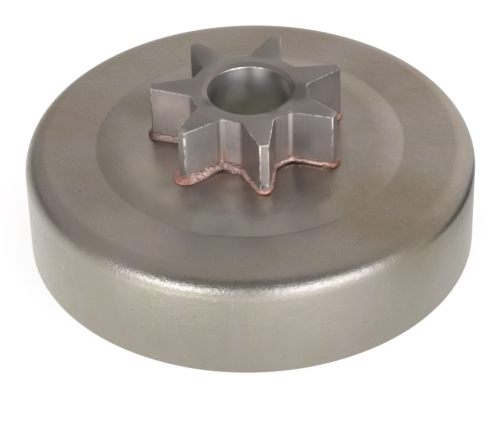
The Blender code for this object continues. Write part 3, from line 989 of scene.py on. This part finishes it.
def bead_paths():
    """The bead's run round the star, and the wetted foot below it, which fills the hollow that a round
    run leaves there. Each is a list of (place, thickness)."""
    bead = []
    foot = []
    for spot in bead_line():
        spread, rise = bead_size(spot)
        reach = spread + BEAD_CORE
        thickness = min(reach, math.hypot(rise, BEAD_CORE))
        above = rise - math.sqrt(thickness**2 - BEAD_CORE**2)
        bead.append((Vector((*spot, PLATEAU_Z + above)), thickness))
        foot_reach = min(reach, reach / FOOT_SLOPE - above * FOOT_DROP) + FOOT_EDGE
        foot.append((Vector((*spot, PLATEAU_Z)), foot_reach))
    return bead, foot


def molten_runs():
    """All the copper before it fuses: the flattened foot, the bead, and its climbs up the corners."""
    bead, foot = bead_paths()
    upper = new_runs("braze_runs")
    add_run(upper, bead, cyclic=True)
    corners = star_corners(BEAD_CLIMB_REACH)
    for index, height, width in BEAD_CLIMBS:
        climb = []
        for step in range(CLIMB_STEPS + 1):
            share = step / CLIMB_STEPS
            place = Vector((*corners[index], PLATEAU_Z + CLIMB_START + share * height))
            climb.append((place, width * (1 - share) ** CLIMB_TAPER + CLIMB_TIP))
        add_run(upper, climb, cyclic=False)
    lower = new_runs("braze_foot")
    add_run(lower, foot, cyclic=True)
    down = Matrix.Translation((0, 0, -PLATEAU_Z))
    flatten = down.inverted() @ Matrix.Scale(FOOT_FLATNESS, 4, (0, 0, 1)) @ down
    shape = bmesh.new()
    shape.from_mesh(solid_runs(lower))
    bmesh.ops.transform(shape, matrix=flatten, verts=shape.verts)
    shape.from_mesh(solid_runs(upper))
    return shape


def fused_runs():
    """The copper fused into one solid, in a bmesh."""
    molten = add_object("molten_braze", mesh_from(molten_runs(), "molten_braze"))
    fuse = molten.modifiers.new("fuse", "REMESH")
    fuse.mode = "VOXEL"
    fuse.voxel_size = BEAD_VOXEL
    melt = molten.modifiers.new("melt", "SMOOTH")
    melt.factor = MELT_FACTOR
    melt.iterations = MELT_PASSES
    shape = bmesh.new()
    shape.from_mesh(baked_mesh(molten))
    bpy.data.objects.remove(molten)
    return shape


def roughen(shape):
    """The copper's grain and lumps. The grain is weaker to the right and past the tooth tips."""
    shape.normal_update()
    for vert in shape.verts:
        if vert.co.z < PLATEAU_Z + 2 * BEAD_SEAT:
            continue
        smooth_end = share_between(vert.co.xy.length, PAST_TIP_FADE)
        calm = share_between(vert.co.x, CALM_FADE)
        fine = noise.noise(vert.co * GRAIN_SCALE) * GRAIN_DEPTH * (1 - CALM_SHARE * calm)
        coarse = noise.noise(vert.co * LUMP_SCALE) * LUMP_DEPTH
        full = min(1.0, (vert.co.z - PLATEAU_Z) / GRAIN_FULL_HEIGHT)
        vert.co += vert.normal * ((fine * (1 - PAST_TIP_SMOOTH_SHARE * smooth_end) + coarse) * full)


def inner_fillet():
    """The copper that ran down round the spigot, and the fillet that it left under the drum's floor."""
    under_floor = PLATEAU_Z - SHEET - BEAD_SEAT
    sleeve_top = SPROCKET_BASE_Z - BEAD_SEAT
    centre = (SLEEVE_OUTER_RADIUS + INNER_FILLET, under_floor - INNER_FILLET)
    section = [(SLEEVE_INNER_RADIUS, sleeve_top), (SLEEVE_INNER_RADIUS, centre[1])]
    section += arc(centre, INNER_FILLET, math.pi, math.pi / 2, FILLET_STEPS)
    section += [(SLEEVE_OUTER_RADIUS, under_floor), (SLEEVE_OUTER_RADIUS, sleeve_top)]
    shape = turned(section, BORE_STEPS)
    for edge in shape.edges:
        edge.smooth = edge.calc_face_angle() < math.radians(SHARP_ANGLE)
    for vert in shape.verts:
        if vert.co.z < under_floor - TOUCHING and vert.co.xy.length > SLEEVE_OUTER_RADIUS - TOUCHING:
            vert.co += vert.normal * noise.noise(vert.co * FILLET_WAVE_SCALE) * FILLET_WAVE
    return mesh_from(shape, "inner_fillet")


def make_bead(material):
    """The copper: fused round the star's foot, set down on the drum, grainy, with its fillet inside."""
    shape = fused_runs()
    for vert in shape.verts:
        vert.co.z = max(vert.co.z, PLATEAU_Z + BEAD_SEAT)
    roughen(shape)
    shape.from_mesh(inner_fillet())
    bead = make_piece("braze_bead", shape, [material])
    bead.data.shade_smooth()
    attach(bead, "root")
    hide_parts("copper_braze")


# Studio


def make_floor():
    """A white table. It is white to the camera and keeps the object's shadow. To the metal it glows with
    painted pools of light and painted shade, and with a painted shadow under the drum.
    """
    shape = bmesh.new()
    bmesh.ops.create_grid(shape, x_segments=1, y_segments=1, size=TABLE_HALF_SIZE)
    floor = add_object("floor", mesh_from(shape, "floor"))
    material, nodes, place = new_material("white_table")
    floor.data.materials.append(material)

    level = 1.0
    # Painted pools of light and painted shade on the table, seen only in the metal
    for azimuth, distance, reach, change in PAINTED_TABLE_POOLS:
        pool = nodes.spot(place, direction(azimuth, 0) * distance, 0.0, reach)
        level = nodes.math("ADD", level, nodes.math("MULTIPLY", pool, change))
    level = nodes.math("MAXIMUM", level, LEAST_TABLE_LEVEL)
    # Painted shadow under the drum
    clear_of_drum = nodes.span(nodes.vector("LENGTH", place), DRUM_RADIUS - UNDER_DRUM_FADE, DRUM_RADIUS)
    glow = nodes.math("MULTIPLY", level, nodes.ramp(clear_of_drum, 0, 1, PAINTED_UNDER_DRUM_SHADOW, 1.0))

    rays = nodes.add("ShaderNodeLightPath").outputs
    seen_in_metal = nodes.math("MAXIMUM", rays["Is Glossy Ray"], rays["Is Transmission Ray"])
    shine = nodes.add("ShaderNodeEmission", "what the metal sees")
    shine.inputs["Color"].default_value = TABLE_COLOUR
    nodes.link(glow, shine.inputs["Strength"])
    white = nodes.add("ShaderNodeEmission", "what the camera sees")
    white.inputs["Strength"].default_value = TABLE_WHITE
    matt = nodes.add("ShaderNodeBsdfDiffuse", "what keeps the shadow")
    matt.inputs["Color"].default_value = TABLE_MATT
    table = nodes.add("ShaderNodeAddShader")
    nodes.link(white.outputs[0], table.inputs[0])
    nodes.link(matt.outputs[0], table.inputs[1])
    nodes.choose(seen_in_metal, table, shine, "ShaderNodeOutputMaterial")


def make_world():
    """A grey room, dim round the camera, and white where the camera looks past the table."""
    world = bpy.data.worlds.new("studio")
    bpy.context.scene.world = world
    world.use_nodes = True
    nodes = Nodes(world.node_tree)
    toward = nodes.add("ShaderNodeTexCoord").outputs["Generated"]
    level = ROOM_LEVEL
    for azimuth, elevation, inner, outer, change in ROOM_SHADES:
        nearness = nodes.vector("DOT_PRODUCT", toward, tuple(direction(azimuth, elevation)))
        low, high = math.cos(math.radians(outer)), math.cos(math.radians(inner))
        level = nodes.math("ADD", level, nodes.ramp(nearness, low, high, 0.0, change))
    level = nodes.math("MAXIMUM", level, 0.0)
    studio = nodes.add("ShaderNodeBackground", "studio")
    studio.inputs["Color"].default_value = ROOM_COLOUR
    nodes.link(level, studio.inputs["Strength"])
    backdrop = nodes.add("ShaderNodeBackground", "backdrop")
    backdrop.inputs["Strength"].default_value = 1.0
    backdrop.inputs["Color"].default_value = (1, 1, 1, 1)
    seen_by_camera = nodes.add("ShaderNodeLightPath").outputs["Is Camera Ray"]
    nodes.choose(seen_by_camera, studio, backdrop, "ShaderNodeOutputWorld")


def make_softbox(name, azimuth, elevation, half_width, half_height, radiance):
    """A flat lamp a metre away that faces the object. Its half sizes are angles."""
    width = 2 * math.tan(math.radians(half_width))
    height = 2 * math.tan(math.radians(half_height))
    data = bpy.data.lights.new(name, "AREA")
    data.shape = "RECTANGLE"
    data.size = width
    data.size_y = height
    data.color = LAMP_COLOUR
    data.energy = radiance * math.pi * width * height
    lamp = add_object(name, data)
    towards = direction(azimuth, elevation)
    lamp.location = towards
    lamp.rotation_euler = towards.to_track_quat("Z", "Y").to_euler()


def main():
    make_camera()
    make_drum(drum_steel())
    make_sprocket(sprocket_steel(), bright_edges(), reamed_bore())
    make_bead(copper_bead())
    make_floor()
    make_world()
    for lamp in LAMPS:
        make_softbox(*lamp)
    bpy.context.scene.view_settings.view_transform = "Standard"


main()
